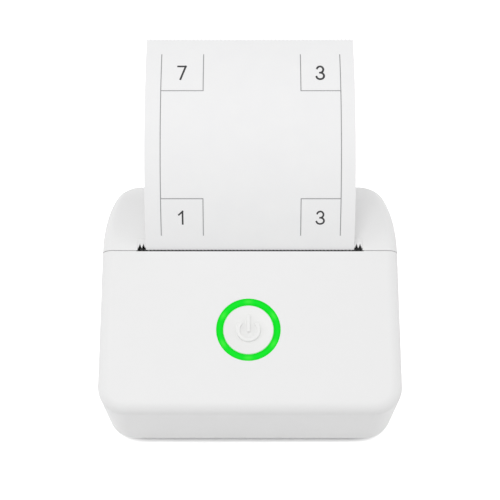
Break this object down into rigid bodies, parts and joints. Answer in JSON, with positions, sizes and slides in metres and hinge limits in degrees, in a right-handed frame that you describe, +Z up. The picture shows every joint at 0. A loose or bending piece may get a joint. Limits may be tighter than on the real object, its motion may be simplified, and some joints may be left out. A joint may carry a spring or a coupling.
{
  "type": "portable thermal printer",
  "caption": "Palm-sized thermal printer with a rounded box body, lit ring button, hinged rear paper cover and a curled printed slip.",
  "frame": {"origin": "centre of the flat base face that the printer stands on", "axes": "+Z up out of the button face, +Y towards the hinged cover, +X to the right seen from the front"},
  "size_m": [0.0754, 0.0945, 0.0553],
  "materials": {
    "white_shell": "fine satin moulding",
    "white_button": "smooth satin cap",
    "base_plastic": "fine grained",
    "tear_bar": "fine satin moulding",
    "frame_plastic": "black moulded",
    "gear_plastic": "natural acetal",
    "light_pipe": "clear green light pipe",
    "thermal_paper": "smooth coated",
    "core_board": "spiral wound",
    "platen_rubber": "ground",
    "steel": "bright",
    "bracket_steel": "zinc plated",
    "bush_bronze": "sintered",
    "screw_steel": "black zinc",
    "heater_ceramic": "glazed",
    "sink_aluminium": "extruded",
    "motor_can": "plated",
    "circuit_board": "green solder mask",
    "chip_black": "moulded",
    "lamp_lens": "clear",
    "ribbon_film": "amber film",
    "cell_wrap": "satin wrap",
    "foam_tape": "soft foam"
  },
  "bodies": {
    "base": {"body_shell": "white_shell", "base_plate": "base_plastic", "base_screws": "screw_steel", "hinge_pin": "steel", "mechanism_frame": "frame_plastic", "frame_screws": "screw_steel", "paper_web": "thermal_paper", "feed_motor": "motor_can", "motor_screws": "screw_steel", "head_pivot_pin": "steel", "head_spring": "steel", "head_ribbon": "ribbon_film", "light_ring": "light_pipe", "ring_leds": "lamp_lens", "power_switch": "chip_black", "main_board": "circuit_board", "board_chips": "chip_black", "board_screws": "screw_steel", "usb_port": "steel", "battery": "cell_wrap", "battery_pad": "foam_tape", "paper_sensor": "chip_black"},
    "cover": {"cover_shell": "white_shell", "tear_bar": "tear_bar", "platen_bracket": "bracket_steel", "platen_bushes": "bush_bronze", "bracket_screws": "screw_steel"},
    "platen": {"platen_shaft": "steel", "platen_roller": "platen_rubber", "platen_gear": "gear_plastic"},
    "paper_roll": {"paper_roll": "thermal_paper", "roll_core": "core_board"},
    "idler": {"idler_gear": "gear_plastic"},
    "motor_rotor": {"motor_shaft": "steel", "motor_pinion": "bush_bronze"},
    "print_head": {"print_head": "heater_ceramic", "heat_sink": "sink_aluminium"},
    "power_button": {"power_button": "white_button", "switch_plunger": "chip_black"},
    "paper_strip": {"paper_strip": "thermal_paper"}
  },
  "joints": [
    {"name": "cover_hinge", "type": "hinge", "parent": "base", "child": "cover", "pos_m": [0, 0.03053, 0.0085], "axis": [-1, 0, 0], "range_deg": [0, 95]},
    {"name": "roll_spin", "type": "hinge", "parent": "base", "child": "paper_roll", "pos_m": [0, 0.01713, 0.0175], "axis": [-1, 0, 0], "continuous": true},
    {"name": "platen_spin", "type": "hinge", "parent": "cover", "child": "platen", "pos_m": [0, 0.00629, 0.02921], "axis": [-1, 0, 0], "continuous": true},
    {"name": "idler_spin", "type": "hinge", "parent": "base", "child": "idler", "pos_m": [0, 0, 0.02185], "axis": [-1, 0, 0], "continuous": true},
    {"name": "motor_spin", "type": "hinge", "parent": "base", "child": "motor_rotor", "pos_m": [0, -0.00161, 0.01271], "axis": [-1, 0, 0], "continuous": true},
    {"name": "head_pivot", "type": "hinge", "parent": "base", "child": "print_head", "pos_m": [0, -0.00334, 0.02502], "axis": [1, 0, 0], "range_deg": [0, 1.5], "stiffness_Nm_per_rad": 0.3, "springref_deg": -4.01},
    {"name": "button_press", "type": "slide", "parent": "base", "child": "power_button", "axis": [0, 0, -1], "range_m": [0, 0.0004], "stiffness_N_per_m": 1500, "springref_m": -0.0002},
    {"name": "paper_feed", "type": "hinge", "parent": "base", "child": "paper_strip", "pos_m": [0, 0.0457, 0.006], "axis": [-1, 0, 0], "range_deg": [0, 12]}
  ],
  "couplings": [
    {"joint": "platen_spin", "follows": "roll_spin", "ratio": 3.4286},
    {"joint": "idler_spin", "follows": "roll_spin", "ratio": -1.4118},
    {"joint": "motor_spin", "follows": "roll_spin", "ratio": 4}
  ]
}
